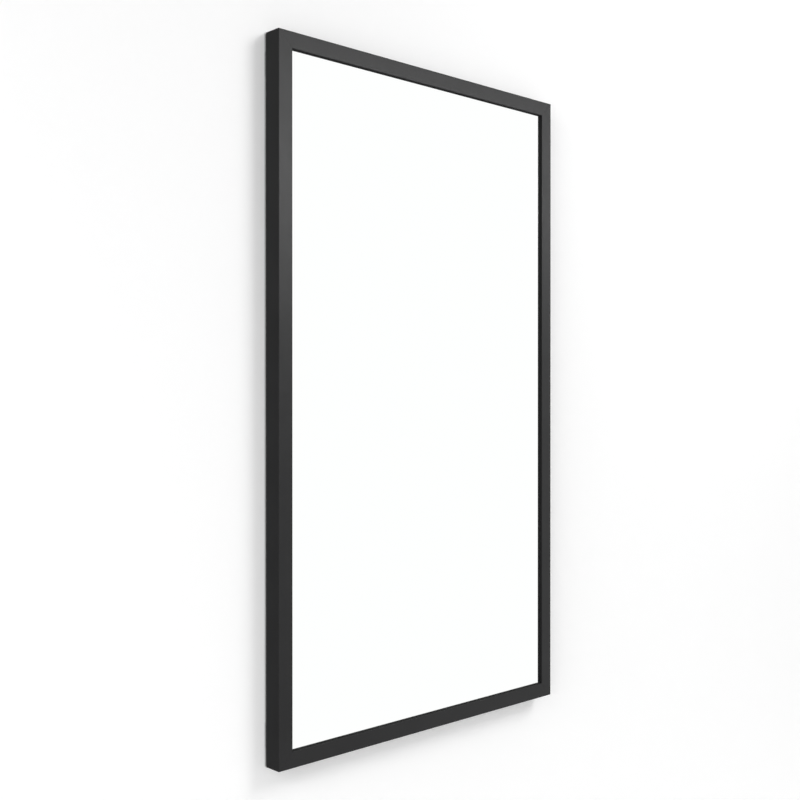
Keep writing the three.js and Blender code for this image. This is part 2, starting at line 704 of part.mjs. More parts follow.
const tieOutline = outline([
  [-tieWidth / 2, -tieEnd], [-dovetailNeck / 2, -tieEnd], [-dovetailHead / 2, -tieEnd - dovetailDepth],
  [dovetailHead / 2, -tieEnd - dovetailDepth], [dovetailNeck / 2, -tieEnd], [tieWidth / 2, -tieEnd],
  [tieWidth / 2, tieEnd], [dovetailNeck / 2, tieEnd], [dovetailHead / 2, tieEnd + dovetailDepth],
  [-dovetailHead / 2, tieEnd + dovetailDepth], [-dovetailNeck / 2, tieEnd], [-tieWidth / 2, tieEnd],
]);
const flangeEnd = tieEnd - tieFlange;
const flange = (side) => {
  const edges = [side * (tieWidth / 2), side * (tieWidth / 2 - wallRailThickness)].sort((a, b) => a - b);
  return block(...edges, -tieFlange, -wallRailThickness / 2, -flangeEnd, flangeEnd);
};
add('tie_channel', surface(less(
  plus(solid(plate(tieOutline, -wallRailThickness, 0)), flange(1), flange(-1)),
  ...tieHoleShares.flatMap((share) => [-share, share]).map((share) => wallHole(0, share * tieEnd)),
)), black);

// Low friction pads on the rear returns of the two stiles
for (const [vertical, up] of [['top', 1], ['bottom', -1]]) {
  for (const [sideways, right] of [['left', -1], ['right', 1]]) {
    const x = right * (halfWidth - returnWidth / 2);
    const z = up * (halfHeight - padFromEnd - padLength / 2);
    add(`glide_pad_${vertical}_${sideways}`, plate(rectangle(
      x - padWidth / 2, x + padWidth / 2, z - padLength / 2, z + padLength / 2, wall),
    -finGap + fit / 2, -finGap + fit / 2 + padThickness), felt);
  }
}

export default group;
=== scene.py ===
"""Looks of the pull out closet mirror: finishes, fine pieces, studio and camera, in metres."""

import math

import bmesh
import bpy
from mathutils import Matrix, Vector
from mathutils.geometry import tessellate_polygon
from mathutils.noise import noise as cloud_noise


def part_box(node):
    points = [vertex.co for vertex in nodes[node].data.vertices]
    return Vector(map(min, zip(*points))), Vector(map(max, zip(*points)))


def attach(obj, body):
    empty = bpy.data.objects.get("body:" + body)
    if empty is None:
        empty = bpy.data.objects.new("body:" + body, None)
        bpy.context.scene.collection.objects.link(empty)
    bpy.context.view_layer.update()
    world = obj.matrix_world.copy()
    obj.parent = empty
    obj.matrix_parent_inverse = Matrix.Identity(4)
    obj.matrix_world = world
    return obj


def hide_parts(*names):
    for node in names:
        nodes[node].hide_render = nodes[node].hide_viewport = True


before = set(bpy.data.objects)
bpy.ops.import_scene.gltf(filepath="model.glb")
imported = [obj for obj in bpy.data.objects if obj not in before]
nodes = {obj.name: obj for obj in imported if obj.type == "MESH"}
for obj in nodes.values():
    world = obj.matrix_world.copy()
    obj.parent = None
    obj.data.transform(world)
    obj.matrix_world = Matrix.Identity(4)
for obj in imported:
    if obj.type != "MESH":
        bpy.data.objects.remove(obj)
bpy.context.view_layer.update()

MM = 0.001


def node_box(name):
    """The lowest and the highest corner of a CAD node, in millimetres."""
    return [[round(value / MM, 3) for value in corner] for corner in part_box(name)]


def middle_height(name):
    """The height of a CAD node's middle, in millimetres."""
    low, high = node_box(name)
    return (low[2] + high[2]) / 2


CORNERS = [(v, h) for v in ("top", "bottom") for h in ("left", "right")]
LEVELS = {level: middle_height(f"{level}_wall_rail") for level in ("upper", "lower")}
SIDES = ("left", "right")
FRAME_MEMBERS = ("left_stile", "right_stile", "top_rail", "bottom_rail")
CORNER_STEPS = 4

# Slides in millimetres: s is the depth in front of the slide's back, t the height from its middle
SLIDE_BACK = 2.2
BALL_RADIUS = 1.985
BALLS_PER_ROW = 7
BALL_SEGMENTS = 20
BALL_RINGS = 12

# Ball cages in millimetres: the web's depth, and the depth and height of the balls' centres
CAGES = {"outer": (1.9, 6.0, 19.365), "inner": (4.9, 9.1, 14.165)}
CAGE_LOW, CAGE_HIGH = node_box("upper_slide_outer_cage")
CAGE_START = CAGE_LOW[0]
CAGE_END = CAGE_HIGH[0]
BALL_PITCH_SHARE = 0.15
BALL_PITCH = round(BALL_PITCH_SHARE * (CAGE_END - CAGE_START), 3)
CAGE_SHEET = 0.5
CAGE_BEND = 1.2
POCKET_RADIUS = 2.08
POCKET_STEPS = 18
WINDOW_END = 5.5
WINDOW_EDGE = 7.5
WINDOW_CORNER = 2.5
SLIVER = 0.01

# Bumpers in millimetres
BUMPER_DEPTH = (1.4, 9.1)
BUMPER_CORNER = 1.6
BUMPER_PEG = 2.0
PEG_INSIDE = 2.4
PEG_CHAMFER = 0.3
GROOVE_RADIUS = 0.7
GROOVE_STEPS = 6
GROOVES = (-8, -4, 0, 4, 8)
END_SHARES = ((-1, 0.86), (-0.93, 0.97), (-0.8, 1.0), (0.8, 1.0), (0.93, 0.97), (1, 0.86))
END_HEIGHT_SHARE = 0.16

# Screws in millimetres
THREAD_PITCH = 0.7
THREAD_DEPTH = 0.32
RINGS_PER_THREAD = 5
RING_STEPS = 28
SHANK_RADIUS = 2.0
TIP_SHARES = ((0, 0.62), (0.3, 0.86))
THREAD_START_SHARE = 0.45
NECK_RUNOUT = 0.05
PAN_RADIUS = 3.5
PAN_HEIGHT = 1.7
PAN_ROUND = 1.3
PAN_FLAT = 1.4
PAN_STEPS = 5
PAN_CHAMFER = (0.15, 0.12)
PAN_NECK = 1.75
SUNK_RADIUS = 3.5
SUNK_HEAD = ((-0.2, 3.6), (-0.06, 3.55), (0, 3.4))
SUNK_RIM = 0.35
SUNK_DEPTH = 1.9
SUNK_NECK = 2.0
GRUB_CHAMFER = ((-0.3, 1.95), (0, 1.65))
GRUB_NECK = 0.35
CROSS_LENGTH = 4.0
CROSS_WIDTH = 0.9
CROSS_CORE = 0.4
CROSS_DEPTH = 1.1
CROSS_TAPER = ((0, 1.0), (0.75, 0.62), (1, 0.3))
CROSS_MOUTH = 1.12
SOCKET_ACROSS = 2.0
SOCKET_DEPTH = 2.0
DRILL_POINT = 0.5
DRILL_TIP_SHARE = 0.05
TOOL_OVERRUN = 0.4
TURN_PER_SCREW = math.radians(37.0)

# Felt pads in millimetres: each profile gives the distance from a face and the inset of the outline
PAD_BACK_PROFILE = ((0, 0.02), (0.2, 0))
PAD_FACE_PROFILE = ((0.3, 0.04), (0.12, 0.16), (0.03, 0.42), (0, 0.95))
PAD_CORNER = 1.1
PAD_SHARP_CORNER = 0.35
PAD_CORNER_STEPS = 6
PAD_LONG_EDGE = 2.5
PAD_CUTS = 24
PAD_FOOT = 0.1
NAP_SIZE = 1.3
NAP_HEIGHT = 0.07

# Foam strips in millimetres
STRIP_STEPS = 60
STRIP_CORNER = 0.7
STRIP_CORNER_STEPS = 3
STRIP_SQUEEZE = 0.25
STRIP_BULGE = 0.2
WAVE_SIZE = 9.0
WAVE_HEIGHT = 0.05

# Where the noise is read for each axis of a soft piece's shift
NOISE_PLACES = ((0, 0, 0), (7, 3, 1), (2, 9, 5))

# Camera, solved from the photograph's edges
LENS = 50.0
SENSOR = 36.0
CAMERA_PLACE = Vector((-1.1862, -1.2301, 0.0049))
CAMERA_YAW = math.radians(43.09)
CAMERA_TILT = math.radians(-0.171)

# Nodes: a colour, the usual range of a noise, and the sockets of a Mix node
WHITE = (1, 1, 1, 1)
NOISE_LOW = 0.3
NOISE_HIGH = 0.7
MIX_SHARE = 0
MIX_COLOURS = (6, 7)
MIX_COLOUR_RESULT = 2
MIX_NUMBERS = (2, 3)

# Powder coat, with the matt inner face of the frame's lip, which lies near the front, in metres; that face
# also gets a darker colour, painted shade in the recess beside the glass
DRIFT_SCALE = 14.0
GLOSS_SCALE = 55.0
GLOSS_SWING = 0.03
PEEL_DEPTH = 0.06 * MM
LIP_ROUGHNESS = 0.85
LIP_PAINTED_SHADE = (0.007, 0.007, 0.0072)
LIP_FACING = (-0.15, -0.24)
LIP_PLACE = (-0.0298, -0.0294)

# Metal
CLOUD_SCALE = 38.0
GRAIN_SWING = 0.08
GRAIN_STRENGTH = 0.14

# Mirror glass
FRONT_FACING = (-0.96, -0.9)
MOTTLE_SCALE = 420.0
SILVER_COLOUR = (0.99, 1.0, 0.995)
BACKING_PAINT = ((0.20, 0.22, 0.23), (0.26, 0.28, 0.29))
GROUND_EDGE = ((0.34, 0.44, 0.40), (0.44, 0.55, 0.50))
UNSILVERED_ROUGHNESS = 0.5

# Hardboard, with the pitch of the wire screen pressed into its back
SCREEN_PITCH = 1.4 * MM
SCREEN_EDGES = (-0.6, 0.6)
SCREEN_SHADE = 0.72
FIBRE_STRETCH = (1, 1, 0.45)
FIBRE_SCALE = 900.0
FIBRE_SHADE = 0.35
FIBRE_RELIEF = 0.35
PATCH_SCALE = 26.0
PATCH_SHADE = 0.7
FLECK_SCALE = 160.0
FLECK_SHADE = 0.75
BOARD_BROWNS = ((0.13, 0.072, 0.036), (0.40, 0.265, 0.155))
BOARD_ROUGHNESS = (0.66, 0.8)
BOARD_STRENGTH = 0.6
BOARD_RELIEF = 0.12 * MM

# Foam, rubber and felt
FUZZ_SWING = 0.06
FUZZ_SPECULAR = 0.3
FUZZ_STRENGTH = 0.6

# Smoothing of the facets
MERGE_DISTANCE = 0.003 * MM
SHALLOW_BEND = math.radians(38)
FACE_WEIGHT = 80

# Studio, in metres
WALL_HALF_WIDTH = 3.2
WALL_TOP = 2.2
WALL_FADE = (1.55, 2.2)
WALL_GAP = 0.0006
WALL_ALBEDO = 0.85
WALL_GLOW = 0.14
WALL_GLOW_SLOPE = (0.03, 0, -0.16)
# Painted contact shade on the wall: ambient occlusion reach and power beside the frame, then reach and
# shares where the frame covers the wall
CONTACT_REACH = 0.003
CONTACT_POWER = 2.0
HOLLOW_REACH = 0.04
HOLLOW_SHARES = (0.05, 0.3)
FLOOR_HEIGHT = -0.95
FLOOR_HALF = 6.0
FLOOR_FADE = (1.3, 3.0)
FLOOR_ALBEDO = 0.5
FLOOR_GLOW = 0.42
PLASTER_SCALE = 90.0
PLASTER_SWING = 0.004
FILL_STRENGTH = 0.53

# Behind the wall the studio is dimmer: its white falls off with depth, its fill with direction
BEHIND_WALL_SHARE = 0.28
BEHIND_WALL_PLACE = (-0.1, 0.2)
FILL_TURN = (-0.15, 0.35)

# Softboxes: place, then width and height in metres; power in watts
KEY_LAMP = ((1.25, -1.7, 1.53), (1.1, 1.1))
KEY_POWER = 33.5
SIDE_LAMP = ((-2.6, -1.1, 0.4), (1.6, 2.4))
SIDE_POWER = 49.0
SIDE_SHEEN_POWER = 34.0
STRIP_LAMP = ((0.95, -1.71, 0.73), (2.4, 0.32))
STRIP_TARGET = (0.95, 0, 0.73)
STRIP_POWER = 30.5
BACK_LAMP = ((1.6, 2.6, 1.8), (2.0, 2.0))
BACK_POWER = 90.0


def shader(name):
    """A new material with its node tree and its Principled shader."""
    mat = bpy.data.materials.new(name)
    mat.use_nodes = True
    tree = mat.node_tree
    return mat, tree, tree.nodes["Principled BSDF"]


def add_node(tree, kind, **values):
    """A node with its sockets or attributes set by name."""
    node = tree.nodes.new(kind)
    for key, value in values.items():
        if key in node.inputs:
            node.inputs[key].default_value = value
        else:
            setattr(node, key, value)
    return node


def coordinates(tree, stretch=(1, 1, 1)):
    """Object coordinates in metres, stretched along each axis."""
    place = add_node(tree, "ShaderNodeTexCoord")
    mapping = add_node(tree, "ShaderNodeMapping")
    mapping.inputs["Scale"].default_value = stretch
    tree.links.new(place.outputs["Object"], mapping.inputs["Vector"])
    return mapping.outputs["Vector"]


def feed(tree, value, socket):
    """Links a socket, or sets it to a plain number or colour."""
    if isinstance(value, bpy.types.NodeSocket):
        tree.links.new(value, socket)
    elif socket.type == "RGBA":
        socket.default_value = (*value, 1)
    else:
        socket.default_value = value


def noise(tree, vector, scale, detail=2.0, roughness=0.5):
    """Fractal noise; the scale counts its cells in a metre."""
    node = add_node(tree, "ShaderNodeTexNoise", Scale=scale, Detail=detail, Roughness=roughness)
    tree.links.new(vector, node.inputs["Vector"])
    return node.outputs["Fac"]


def spread(tree, value, low, high, start=NOISE_LOW, end=NOISE_HIGH):
    """Maps a number onto a range, and stops at its ends."""
    node = add_node(tree, "ShaderNodeMapRange")
    for key, number in (("From Min", start), ("From Max", end), ("To Min", low), ("To Max", high)):
        node.inputs[key].default_value = number
    tree.links.new(value, node.inputs["Value"])
    return node.outputs["Result"]


def maths(tree, operation, *values, clamp=False):
    """A sum, product or the like of numbers, plain or linked."""
    node = add_node(tree, "ShaderNodeMath", operation=operation, use_clamp=clamp)
    for value, socket in zip(values, node.inputs):
        feed(tree, value, socket)
    return node.outputs[0]


def dot(tree, first, second):
    """The dot product of two vectors, plain or linked."""
    node = add_node(tree, "ShaderNodeVectorMath", operation="DOT_PRODUCT")
    feed(tree, first, node.inputs[0])
    feed(tree, second, node.inputs[1])
    return node.outputs["Value"]


def along(tree, vector, axis):
    """One coordinate of a vector."""
    parts = add_node(tree, "ShaderNodeSeparateXYZ")
    tree.links.new(vector, parts.inputs["Vector"])
    return parts.outputs[axis]


def tint(tree, share, first, second):
    """Mixes two colours, plain or linked."""
    node = add_node(tree, "ShaderNodeMix", data_type="RGBA")
    for value, socket in zip((share, first, second), (MIX_SHARE, *MIX_COLOURS)):
        feed(tree, value, node.inputs[socket])
    return node.outputs[MIX_COLOUR_RESULT]


def mixed(tree, share, first, second):
    """Mixes two numbers, plain or linked."""
    node = add_node(tree, "ShaderNodeMix", data_type="FLOAT")
    for value, socket in zip((share, first, second), (MIX_SHARE, *MIX_NUMBERS)):
        feed(tree, value, node.inputs[socket])
    return node.outputs[0]


def either(tree, share, first, second):
    """Mixes two shaders."""
    node = add_node(tree, "ShaderNodeMixShader")
    for value, socket in zip((share, first, second), node.inputs):
        tree.links.new(value, socket)
    return node.outputs[0]


def mirrored(tree, path):
    """One for a ray that comes from gloss or through glass, nought for others."""
    return maths(tree, "MAXIMUM", path.outputs["Is Glossy Ray"], path.outputs["Is Transmission Ray"])


def bump(tree, bsdf, height, strength, distance):
    """Relief of a shader's surface."""
    node = add_node(tree, "ShaderNodeBump", Strength=strength, Distance=distance)
    tree.links.new(height, node.inputs["Height"])
    tree.links.new(node.outputs["Normal"], bsdf.inputs["Normal"])


def powder_coat(name, dark, light, roughness, specular, peel_scale, peel_strength, lip=False):
    """Powder coated metal: an even colour, a slow drift of gloss and a fine orange peel.

    On the frame the inner face of the lip is left matt, so that the glass doesn't light it up, and is made
    darker, as painted shade in the recess beside the glass."""
    mat, tree, bsdf = shader(name)
    vector = coordinates(tree)
    drift = spread(tree, noise(tree, vector, DRIFT_SCALE), 0, 1)
    colour = tint(tree, drift, dark, light)
    patches = noise(tree, vector, GLOSS_SCALE, detail=3.0)
    gloss = spread(tree, patches, roughness - GLOSS_SWING, roughness + GLOSS_SWING)
    if lip:
        place = add_node(tree, "ShaderNodeTexCoord")
        inward = dot(tree, vector, place.outputs["Normal"])
        facing = spread(tree, inward, 0, 1, *LIP_FACING)
        depth = spread(tree, dot(tree, vector, (0, 1, 0)), 0, 1, *LIP_PLACE)
        inner_face = maths(tree, "MULTIPLY", facing, depth)
        gloss = mixed(tree, inner_face, gloss, LIP_ROUGHNESS)
        # Painted shade: a darker colour on the lip's inner face, beside the glass
        colour = tint(tree, inner_face, colour, LIP_PAINTED_SHADE)
    tree.links.new(colour, bsdf.inputs["Base Color"])
    tree.links.new(gloss, bsdf.inputs["Roughness"])
    bsdf.inputs["Specular IOR Level"].default_value = specular
    peel = noise(tree, vector, peel_scale, detail=1.0)
    bump(tree, bsdf, peel, peel_strength, PEEL_DEPTH)
    return mat


def metal(name, dark, light, roughness, grain_scale, depth, grain=(1, 1, 1)):
    """Plated or cast metal with a grainy surface, drawn out along an axis where grain is small."""
    mat, tree, bsdf = shader(name)
    vector = coordinates(tree, grain)
    cloud = noise(tree, coordinates(tree), CLOUD_SCALE, detail=4.0)
    tree.links.new(tint(tree, spread(tree, cloud, 0, 1), dark, light), bsdf.inputs["Base Color"])
    fine = noise(tree, vector, grain_scale, detail=3.0, roughness=0.6)
    gloss = spread(tree, fine, roughness - GRAIN_SWING, roughness + GRAIN_SWING)
    tree.links.new(gloss, bsdf.inputs["Roughness"])
    bsdf.inputs["Metallic"].default_value = 1.0
    bump(tree, bsdf, fine, GRAIN_STRENGTH, depth)
    return mat


def silvered_glass():
    """Mirror glass: silvered towards the room, ground edges and grey backing paint elsewhere."""
    mat, tree, bsdf = shader("silvered_glass")
    place = add_node(tree, "ShaderNodeTexCoord")
    backward = along(tree, place.outputs["Normal"], "Y")
    facing = spread(tree, backward, 1, 0, *FRONT_FACING)
    mottle = spread(tree, noise(tree, coordinates(tree), MOTTLE_SCALE, detail=3.0), 0, 1)
    paint = tint(tree, mottle, *BACKING_PAINT)
    edge = tint(tree, mottle, *GROUND_EDGE)
    other = tint(tree, spread(tree, backward, 0, 1, 0, 1), edge, paint)
    tree.links.new(tint(tree, facing, other, SILVER_COLOUR), bsdf.inputs["Base Color"])
    tree.links.new(facing, bsdf.inputs["Metallic"])
    tree.links.new(spread(tree, facing, UNSILVERED_ROUGHNESS, 0, 0, 1), bsdf.inputs["Roughness"])
    return mat


def hardboard():
    """Brown pressed fibre board with the fine screen pattern of its rough side."""
    mat, tree, bsdf = shader("hardboard")
    vector = coordinates(tree)
    fibre = noise(tree, coordinates(tree, FIBRE_STRETCH), FIBRE_SCALE, detail=6.0, roughness=0.7)
    patch = noise(tree, vector, PATCH_SCALE, detail=3.0)
    fleck = noise(tree, vector, FLECK_SCALE, detail=4.0, roughness=0.6)
    shade = maths(tree, "MULTIPLY", spread(tree, fibre, FIBRE_SHADE, 1.0),
                  spread(tree, patch, PATCH_SHADE, 1.0))
    shade = maths(tree, "MULTIPLY", shade, spread(tree, fleck, FLECK_SHADE, 1.0))
    waves = []
    for axis in ((1, 0, 0), (0, 0, 1)):
        turn = maths(tree, "MULTIPLY", dot(tree, vector, axis), 2 * math.pi / SCREEN_PITCH)
        waves.append(maths(tree, "SINE", turn))
    weave = spread(tree, maths(tree, "MULTIPLY", *waves), 0, 1, *SCREEN_EDGES)
    shade = maths(tree, "MULTIPLY", shade, spread(tree, weave, SCREEN_SHADE, 1.0, 0, 1))
    tree.links.new(tint(tree, shade, *BOARD_BROWNS), bsdf.inputs["Base Color"])
    tree.links.new(spread(tree, patch, *BOARD_ROUGHNESS), bsdf.inputs["Roughness"])
    height = maths(tree, "MULTIPLY_ADD", fibre, FIBRE_RELIEF, weave)
    bump(tree, bsdf, height, BOARD_STRENGTH, BOARD_RELIEF)
    return mat


def soft(name, dark, light, scale, roughness, depth):
    """Foam, rubber or felt: matt, with fine pores or fuzz."""
    mat, tree, bsdf = shader(name)
    vector = coordinates(tree)
    fuzz = noise(tree, vector, scale, detail=5.0, roughness=0.65)
    tree.links.new(tint(tree, spread(tree, fuzz, 0, 1), dark, light), bsdf.inputs["Base Color"])
    gloss = spread(tree, fuzz, roughness - FUZZ_SWING, roughness + FUZZ_SWING)
    tree.links.new(gloss, bsdf.inputs["Roughness"])
    bsdf.inputs["Specular IOR Level"].default_value = FUZZ_SPECULAR
    bump(tree, bsdf, fuzz, FUZZ_STRENGTH, depth)
    return mat


FRAME_BLACK = powder_coat("satin_black_coat", dark=(0.0145, 0.0145, 0.015), light=(0.0175, 0.0175, 0.018),
                          roughness=0.39, specular=0.20, peel_scale=1100.0, peel_strength=0.30, lip=True)
RAIL_BLACK = powder_coat("textured_black_coat", dark=(0.020, 0.020, 0.021), light=(0.028, 0.028, 0.029),
                         roughness=0.55, specular=0.45, peel_scale=750.0, peel_strength=0.9)
SILVER = silvered_glass()
BOARD = hardboard()
ZINC = metal("bright_zinc", dark=(0.48, 0.49, 0.505), light=(0.62, 0.635, 0.655),
             roughness=0.32, grain_scale=2200.0, depth=0.02 * MM, grain=(0.05, 1, 1))
CAST = metal("cast_zinc", dark=(0.34, 0.345, 0.35), light=(0.45, 0.455, 0.46),
             roughness=0.52, grain_scale=900.0, depth=0.08 * MM)
DARK_SCREW = metal("black_zinc", dark=(0.045, 0.045, 0.048), light=(0.08, 0.08, 0.084),
                   roughness=0.38, grain_scale=1600.0, depth=0.02 * MM)
BALL_STEEL = metal("polished_steel", dark=(0.70, 0.70, 0.71), light=(0.78, 0.78, 0.79),
                   roughness=0.12, grain_scale=700.0, depth=0.005 * MM)
FOAM = soft("black_foam", dark=(0.012, 0.012, 0.013), light=(0.03, 0.03, 0.031),
            scale=1400.0, roughness=0.9, depth=0.2 * MM)
RUBBER = soft("black_rubber", dark=(0.016, 0.016, 0.016), light=(0.024, 0.024, 0.024),
              scale=500.0, roughness=0.7, depth=0.05 * MM)
FELT = soft("grey_felt", dark=(0.05, 0.05, 0.054), light=(0.11, 0.11, 0.116),
            scale=1800.0, roughness=0.93, depth=0.3 * MM)


def smooth_group():
    """Nodes that join the facets and shade shallow bends smooth, with the shape unchanged."""
    group = bpy.data.node_groups.new("smooth_shallow_bends", "GeometryNodeTree")
    group.interface.new_socket("Geometry", in_out="INPUT", socket_type="NodeSocketGeometry")
    group.interface.new_socket("Geometry", in_out="OUTPUT", socket_type="NodeSocketGeometry")
    start = group.nodes.new("NodeGroupInput")
    end = group.nodes.new("NodeGroupOutput")
    plain = group.nodes.new("GeometryNodeRemoveAttribute")
    plain.inputs["Name"].default_value = "custom_normal"
    merge = group.nodes.new("GeometryNodeMergeByDistance")
    merge.inputs["Distance"].default_value = MERGE_DISTANCE
    angle = group.nodes.new("GeometryNodeInputMeshEdgeAngle")
    shallow = group.nodes.new("FunctionNodeCompare")
    shallow.operation = "LESS_THAN"
    shallow.inputs[1].default_value = SHALLOW_BEND
    edges = group.nodes.new("GeometryNodeSetShadeSmooth")
    edges.domain = "EDGE"
    faces = group.nodes.new("GeometryNodeSetShadeSmooth")
    link = group.links.new
    link(start.outputs[0], plain.inputs["Geometry"])
    link(plain.outputs["Geometry"], merge.inputs["Geometry"])
    link(angle.outputs["Unsigned Angle"], shallow.inputs[0])
    link(merge.outputs["Geometry"], faces.inputs["Geometry"])
    link(faces.outputs["Geometry"], edges.inputs["Geometry"])
    link(shallow.outputs["Result"], edges.inputs["Shade Smooth"])
    link(edges.outputs["Geometry"], end.inputs[0])
    return group


SMOOTH = smooth_group()


def soften(obj):
    """Shades shallow bends smooth and keeps wide faces flat."""
    modifier = obj.modifiers.new("smooth", "NODES")
    modifier.node_group = SMOOTH
    weigh = obj.modifiers.new("weigh", "WEIGHTED_NORMAL")
    weigh.keep_sharp = True
    weigh.weight = FACE_WEIGHT


def dress(name, material, smooth=True):
    """Gives a CAD node its finish and smooth bends."""
    obj = nodes[name]
    obj.data.materials.clear()
    obj.data.materials.append(material)
    if smooth:
        soften(obj)


def dress_frame():
    """Finishes of the frame, the glass and what holds them together."""
    for name in FRAME_MEMBERS:
        dress(name, FRAME_BLACK)
    for vertical, sideways in CORNERS:
        dress(f"corner_key_{vertical}_{sideways}", CAST)
        dress(f"board_clip_{vertical}_{sideways}", ZINC)
    dress("mirror_glass", SILVER, smooth=False)
    dress("backing_board", BOARD, smooth=False)


def dress_mechanism():
    """Finishes of the rails, the tie channel and the slides' members."""
    dress("tie_channel", RAIL_BLACK)
    for level in LEVELS:
        dress(f"{level}_wall_rail", RAIL_BLACK)
        dress(f"{level}_cross_rail", RAIL_BLACK)
        for member in ("outer", "intermediate", "inner"):
            dress(f"{level}_slide_{member}_member", ZINC)


def skin(bm, name, material, body, replaced=(), smooth=True):
    """Makes a piece of a mesh in millimetres: its finish, its body and the nodes it stands for."""
    bmesh.ops.scale(bm, vec=(MM, MM, MM), verts=bm.verts)
    bmesh.ops.recalc_face_normals(bm, faces=bm.faces)
    mesh = bpy.data.meshes.new(name)
    bm.to_mesh(mesh)
    bm.free()
    mesh.materials.append(material)
    obj = bpy.data.objects.new(name, mesh)
    bpy.context.scene.collection.objects.link(obj)
    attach(obj, body)
    if replaced:
        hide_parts(*replaced)
    if smooth:
        soften(obj)
    return obj


def loft(rings):
    """Closes rings of points with the same count into one solid with flat ends."""
    bm = bmesh.new()
    made = [[bm.verts.new(point) for point in ring] for ring in rings]
    count = len(made[0])
    for lower, upper in zip(made, made[1:]):
        for i in range(count):
            j = (i + 1) % count
            bm.faces.new((lower[i], lower[j], upper[j], upper[i]))
    bm.faces.new(made[0][::-1])
    bm.faces.new(made[-1])
    return bm


def rounded(half_u, half_v, radius, steps=CORNER_STEPS):
    """A rectangle with rounded corners round the origin, as (u, v) pairs."""
    points = []
    for corner, (su, sv) in enumerate(((1, 1), (-1, 1), (-1, -1), (1, -1))):
        for k in range(steps + 1):
            angle = math.pi / 2 * (corner + k / steps)
            points.append((su * (half_u - radius) + radius * math.cos(angle),
                           sv * (half_v - radius) + radius * math.sin(angle)))
    return points


def join(first, second, operation):
    """The boolean of two meshes as a new bmesh, in millimetres."""
    objects = []
    for bm in (first, second):
        bmesh.ops.recalc_face_normals(bm, faces=bm.faces)
        mesh = bpy.data.meshes.new("work")
        bm.to_mesh(mesh)
        bm.free()
        obj = bpy.data.objects.new("work", mesh)
        bpy.context.scene.collection.objects.link(obj)
        objects.append(obj)
    modifier = objects[0].modifiers.new("join", "BOOLEAN")
    modifier.object = objects[1]
    modifier.operation = operation
    modifier.solver = "EXACT"
    bpy.context.view_layer.update()
    result = bmesh.new()
    result.from_mesh(objects[0].evaluated_get(bpy.context.evaluated_depsgraph_get()).to_mesh())
    for obj in objects:
        bpy.data.objects.remove(obj)
    return result


def turned(rings, thread=None):
    """A turned body along Y from (y, radius) pairs, with a helical thread between two depths."""
    loops = []
    for y, radius in rings:
        loop = []
        for k in range(RING_STEPS):
            turn = k / RING_STEPS
            r = radius
            if thread and thread[0] <= y <= thread[1]:
                phase = (y / THREAD_PITCH + turn) % 1
                r -= THREAD_DEPTH * abs(2 * phase - 1)
            loop.append((r * math.cos(2 * math.pi * turn), y, r * math.sin(2 * math.pi * turn)))
        loops.append(loop)
    return loft(loops)


def threaded(length, neck, head):
    """A screw without its recess: a chamfered tip, threads up to the neck, then the head's rings."""
    tip = -length
    first = tip + SHANK_RADIUS * THREAD_START_SHARE
    rings = [(tip + SHANK_RADIUS * reach, SHANK_RADIUS * share) for reach, share in TIP_SHARES]
    count = round((-neck - tip) / THREAD_PITCH * RINGS_PER_THREAD)
    for i in range(count + 1):
        rings.append((first + (-neck - first) * i / count, SHANK_RADIUS))
    return turned(rings + head, (first, -neck - NECK_RUNOUT))


def cross_cutter():
    """A tapered cross that cuts a screw recess into a face at zero."""
    rings = []
    taper = [(-CROSS_DEPTH * reach, share) for reach, share in CROSS_TAPER]
    for y, share in [(TOOL_OVERRUN, CROSS_MOUTH), *taper]:
        far = CROSS_LENGTH / 2 * share
        near = CROSS_WIDTH / 2 * (CROSS_CORE + (1 - CROSS_CORE) * share)
        plus = [(far, near), (near, near), (near, far), (-near, far), (-near, near), (-far, near),
                (-far, -near), (-near, -near), (-near, -far), (near, -far), (near, -near), (far, -near)]
        rings.append([(u, y, v) for u, v in plus])
    return loft(rings)


def hex_cutter():
    """A hexagon with a drilled point that cuts a key socket into a face at zero."""
    rings = []
    point = -SOCKET_DEPTH - DRILL_POINT
    for y, share in ((TOOL_OVERRUN, 1.0), (-SOCKET_DEPTH, 1.0), (point, DRILL_TIP_SHARE)):
        radius = SOCKET_ACROSS / math.sqrt(3) * share
        rings.append([(radius * math.cos(math.pi / 3 * k), y, radius * math.sin(math.pi / 3 * k))
                      for k in range(6)])
    return loft(rings)


def pan_screw(length):
    """Pan head screw with a cross recess; the head's face is at zero."""
    break_in, break_up = PAN_CHAMFER
    head = [(-PAN_HEIGHT, SHANK_RADIUS), (-PAN_HEIGHT, PAN_RADIUS - break_in),
            (-PAN_HEIGHT + break_up, PAN_RADIUS)]
    for k in range(PAN_STEPS + 1):
        angle = math.pi / 2 * k / PAN_STEPS
        head.append((PAN_HEIGHT / 2 * (math.sin(angle) - 1),
                     PAN_RADIUS - PAN_ROUND * (1 - math.cos(angle))))
    body = threaded(length, PAN_NECK, head + [(0, PAN_FLAT)])
    return join(body, cross_cutter(), "DIFFERENCE")


def sunk_screw(length):
    """Countersunk screw with a cross recess; the head's face is at zero."""
    head = [(-SUNK_DEPTH, SHANK_RADIUS), (-SUNK_RIM, SUNK_RADIUS), *SUNK_HEAD]
    return join(threaded(length, SUNK_NECK, head), cross_cutter(), "DIFFERENCE")


def grub_screw(length):
    """Socket set screw with a flat point; the socket's face is at zero."""
    return join(threaded(length, GRUB_NECK, list(GRUB_CHAMFER)), hex_cutter(), "DIFFERENCE")


def screw_kind(name):
    """The maker of a screw, by the CAD node's name."""
    if name.startswith("grub"):
        return grub_screw
    if name.startswith("cross"):
        return sunk_screw
    return pan_screw


